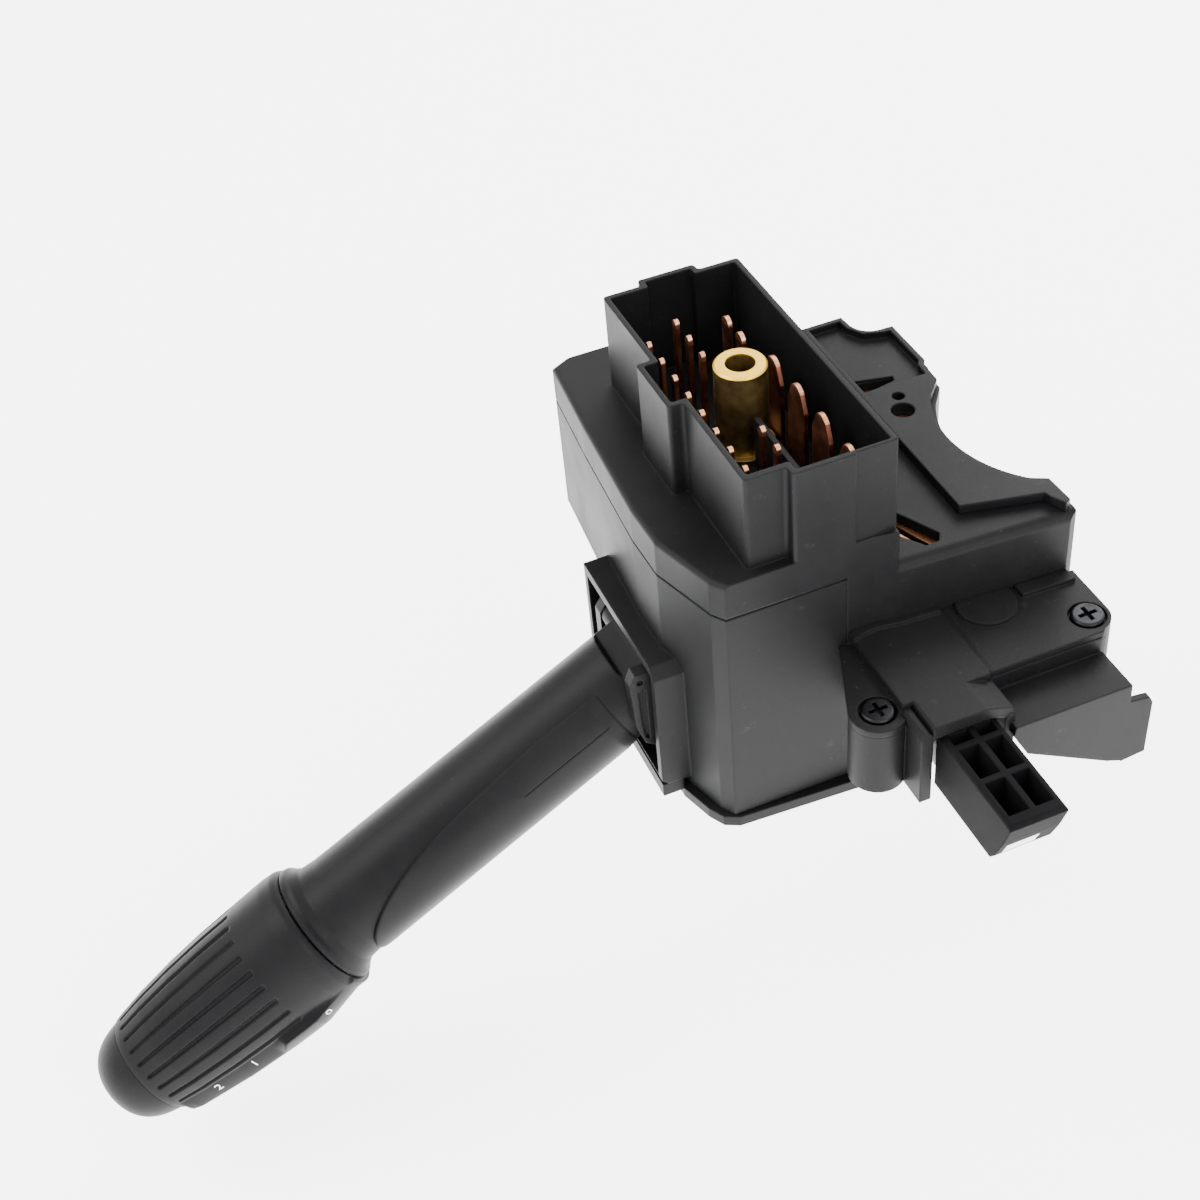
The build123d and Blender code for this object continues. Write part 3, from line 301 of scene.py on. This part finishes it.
# Knob sleeve. Along the stalk the radius follows a barrel line. Each flute takes from it a
# trough with round ends, as deep as a smooth step of the distance to its middle line, and the
# mark pad adds its own line where an angle step on each side is up. On the near side that step
# is a wall by the wide end and a long ramp beyond it. Lengths in mm, angles in degrees
sleeve = {
    "line": ((72.8, 12.35), (73.4, 12.95), (74.1, 13.26), (76.7, 13.46), (84.5, 13.3),
             (92.3, 13.1), (100.1, 12.6), (107.9, 11.75), (114.0, 10.7), (114.8, 10.5)),
    "padLine": ((75.0, 13.3), (83.0, 14.9), (86.0, 14.9), (91.0, 14.75),
                (100.8, 14.0), (107.0, 13.2), (112.0, 12.55), (113.6, 12.0), (114.3, 10.6)),
    "flutes": 24, "first": 7.8, "from": 84.1, "to": 113.3, "half": 0.72, "tipHalf": 0.5,
    "deep": 0.55, "floorShare": 0.25,  # half widths of a flute, and the flat share of its floor
    "padFar": -157.5, "padNear": -102.6, "farStep": 2.2,
    "clearFar": 4.5, "clearNear": 4.6,  # no flute is this close to the pad
    "rampPlaces": (90.4, 92.6), "ramps": (2.2, 17.0),
    "hubStart": 50.0, "hubRadius": 6.6, "boreEnd": 78.0, "boreRadius": 9.0,
    # where each band of rings starts, and its count, closer at the rim, pad wall and end
    "bands": ((72.8, 13), (76.0, 17), (82.5, 22), (86.5, 60), (110.0, 26)),
    "perFlute": 23, "crowd": (0.55, 0.45),  # points over a pitch, crowded at the flute's middle
}
pitch = 360.0 / sleeve["flutes"]
inSector = np.linspace(-1.0, 1.0, sleeve["perFlute"])[:-1]
spread = 0.5 * pitch * (sleeve["crowd"][0] * inSector + sleeve["crowd"][1] * inSector ** 3)
fluteAngles = sleeve["first"] - pitch * np.arange(sleeve["flutes"])
angles = (fluteAngles[::-1, None] + spread).ravel()
rear, tip = sleeve["line"][0][0], sleeve["line"][-1][0]
bandEnds = [start for start, _ in sleeve["bands"][1:]] + [tip]
stations = np.concatenate([np.linspace(start, stop, count)[:-1] for (start, count), stop
                           in zip(sleeve["bands"], bandEnds)] + [[tip]])


# plain line - trough * (1 - smooth step of the distance to the flute's middle) + pad's rise,
# times its share on the near side and its share on the far side
def sleeveRadius(along, angle):
    first, deepest = sleeve["first"], sleeve["deep"]
    plain = np.interp(along, *zip(*sleeve["line"]))
    offset = np.radians((angle - first + 0.5 * pitch) % pitch - 0.5 * pitch) * plain
    half = np.interp(along, (sleeve["from"], sleeve["to"]), (sleeve["half"], sleeve["tipHalf"]))
    beyond = np.maximum(sleeve["from"] + half - along, along - sleeve["to"] + half).clip(0.0)
    middle = first - pitch * np.round((first - angle) / pitch)
    isCut = ((middle > sleeve["padNear"] + sleeve["clearNear"])
             | (middle < sleeve["padFar"] - sleeve["clearFar"]))
    slope = smoothStep(np.hypot(offset, beyond), sleeve["floorShare"] * half, half)
    trough = deepest * isCut * (1.0 - slope)
    ramp = np.interp(along, sleeve["rampPlaces"], sleeve["ramps"])
    turned = (angle + 360.0) % 360.0 - 360.0
    near = np.clip((sleeve["padNear"] - turned) / ramp, 0.0, 1.0)
    far = smoothStep(turned, sleeve["padFar"], sleeve["padFar"] + sleeve["farStep"])
    rise = (np.interp(along, *zip(*sleeve["padLine"])) - plain).clip(0.0)
    return plain - trough + rise * near * far


# A plain ring of the sleeve's inside
def plainRing(along, radius):
    return aboutStalk(np.full(len(angles), along), np.full(len(angles), radius), angles)


along, angle = np.meshgrid(stations, angles, indexing="ij")
skin = aboutStalk(along, sleeveRadius(along, angle), angle)
rings = np.stack([plainRing(sleeve["hubStart"], sleeve["hubRadius"]),
                  plainRing(rear, sleeve["hubRadius"]), *skin,
                  plainRing(tip, sleeve["boreRadius"]),
                  plainRing(sleeve["boreEnd"], sleeve["boreRadius"])])
rowCount, columnCount = rings.shape[:2]
index = np.arange(rowCount * columnCount).reshape(rowCount, columnCount)
after = np.roll(index, -1, axis=1)
quads = np.stack([index[:-1], after[:-1], after[1:], index[1:]], axis=-1).reshape(-1, 4)
poles = aboutStalk(np.array([sleeve["hubStart"], sleeve["boreEnd"]]), np.zeros(2), np.zeros(2))
startPole, endPole = rowCount * columnCount, rowCount * columnCount + 1
fans = np.concatenate([
    np.stack([after[0], index[0], np.full(columnCount, startPole)], axis=-1),
    np.stack([index[-1], after[-1], np.full(columnCount, endPole)], axis=-1)])
flutedSleeve = shape("flutedSleeve", "knob", np.concatenate([rings.reshape(-1, 3), poles]),
                     quads, fans, knobPlastic)
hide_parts("light_knob")
print("knob sleeve:", len(quads), "quads")

# Plain numbers on the mark pad, bent round the knob: each flat number's height becomes an
# angle and its reading direction runs along the stalk. Each has its place along and round it
marks = {"size": 2.6, "thick": 0.04, "gap": 0.02, "bendRadius": 14.0,
         "colour": (0.82, 0.82, 0.8), "rough": 0.5,
         "numbers": (("0", 80.4, -110.5), ("1", 97.6, -108.6), ("2", 106.0, -109.0))}
markPaint = Finish("markPaint")
markPaint.set(Base_Color=marks["colour"], Roughness=marks["rough"])
for digit, place, around in marks["numbers"]:
    text = bpy.data.curves.new("number" + digit, "FONT")
    text.body, text.size, text.extrude = digit, marks["size"], marks["thick"]
    text.align_x, text.align_y = "CENTER", "CENTER"
    flat = bpy.data.objects.new("number" + digit, text)
    mesh = bpy.data.meshes.new_from_object(flat)
    bpy.data.objects.remove(flat)
    flatPoints = np.empty(3 * len(mesh.vertices))
    mesh.vertices.foreach_get("co", flatPoints)
    across, height, lift = flatPoints.reshape(-1, 3).T
    at = place - across
    turn = around + np.degrees(height / marks["bendRadius"])
    bent = aboutStalk(at, sleeveRadius(at, turn) + lift + marks["gap"], turn)
    mesh.vertices.foreach_set("co", bent.ravel())
    mesh.materials.clear()
    mesh.materials.append(markPaint.material)
    numberPiece = bpy.data.objects.new("number" + digit, mesh)
    bpy.context.collection.objects.link(numberPiece)
    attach(numberPiece, "knob")
print("numbers laid")

# Plain white mark on the end of the hazard button: a thin slab that leans with the end face,
# x = its place at one height + (z - that height) * slope, a little sunk in the button
buttonMark = {"y": (-20.2, -14.4), "z": (-5.3, -2.3), "slope": 2.1 / 4.7, "x": 76.7, "from": -1.3,
              "sunk": -0.2, "thick": 0.06}
corners = np.array([[y, z, t] for t in (buttonMark["sunk"], buttonMark["thick"])
                    for z in buttonMark["z"] for y in buttonMark["y"]])
face = buttonMark["x"] + (corners[:, 1] - buttonMark["from"]) * buttonMark["slope"]
slab = 0.001 * np.stack([face + corners[:, 2], corners[:, 0], corners[:, 1]], axis=-1)
sides = np.array([[0, 2, 3, 1], [4, 5, 7, 6], [0, 1, 5, 4], [2, 6, 7, 3], [0, 4, 6, 2],
                  [1, 3, 7, 5]])
shape("buttonMark", "button", slab, sides, np.empty((0, 3), dtype=int), markPaint.material)
print("button mark laid")

# Floor and light. The floor lies low enough for the knob to clear it when the stalk is pulled
studio = {
    "floorDrop": 0.0145, "floorSize": 6.0, "floorTone": (0.97, 0.97, 0.97),
    "cloudTone": (0.95, 0.95, 0.95), "cloudShare": 0.05, "cloudScale": 3.0, "floorRough": 0.9,
    "floorGlow": 3.2, "world": 2.4, "aim": (0, -0.04, 0),
    "softboxes": (("keyBox", (-0.2, -0.75, 0.9), 0.7, 11.0),  # name, place, size, power
                  ("fillBox", (0.9, 0.2, 0.6), 0.6, 6.0),
                  ("rimBox", (-0.6, 0.7, 0.7), 0.6, 10.0)),
}
low = min(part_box(name)[0][2] for name in nodes)
bpy.ops.mesh.primitive_plane_add(size=studio["floorSize"],
                                 location=(0, 0, low - studio["floorDrop"]))
floor = bpy.context.object
floor.name = "studioFloor"
floorLook = Finish("paleFloor")
floorCloud = floorLook.noise(studio["cloudScale"], 2.0)
floorColour = floorLook.blend(floorCloud * studio["cloudShare"], studio["floorTone"],
                              studio["cloudTone"])
floorLook.set(Emission_Strength=studio["floorGlow"], Emission_Color=(1.0, 1.0, 1.0),
              Base_Color=floorColour, Roughness=studio["floorRough"])
floor.data.materials.append(floorLook.material)

world = bpy.data.worlds.new("softRoom")
bpy.context.scene.world = world
world.use_nodes = True
background = world.node_tree.nodes["Background"]
background.inputs["Color"].default_value = (1, 1, 1, 1)
background.inputs["Strength"].default_value = studio["world"]

for name, place, size, power in studio["softboxes"]:
    light = bpy.data.lights.new(name, "AREA")
    light.shape, light.size, light.energy = "SQUARE", size, power
    lamp = bpy.data.objects.new(name, light)
    bpy.context.collection.objects.link(lamp)
    lamp.location = place
    beam = Vector(studio["aim"]) - Vector(place)
    lamp.rotation_euler = beam.to_track_quat("-Z", "Y").to_euler()

# Camera, fitted to the straight edges of the object; rightDip is the angle in degrees by which
# the picture's right side points below the horizon
shot = {"place": (0.24305, -0.13664, 0.23478), "forward": (-0.7062, 0.2276, -0.6704),
        "rightDip": -4.66, "lens": 57.67, "sensor": 36.0, "clip": 0.005}
ahead = Vector(shot["forward"]).normalized()
level = ahead.cross(Vector((0, 0, 1))).normalized()
upright = level.cross(ahead)
lean = sin(radians(shot["rightDip"])) / upright.z
right = (level * (1 - lean * lean) ** 0.5 + upright * lean).normalized()
top = right.cross(ahead)
camera = bpy.data.cameras.new("photoCamera")
camera.lens, camera.sensor_width, camera.clip_start = shot["lens"], shot["sensor"], shot["clip"]
eye = bpy.data.objects.new("photoCamera", camera)
bpy.context.collection.objects.link(eye)
facing = Matrix((right, top, -ahead)).transposed().to_4x4()
eye.matrix_world = Matrix.Translation(shot["place"]) @ facing
bpy.context.scene.camera = eye
print("studio ready")
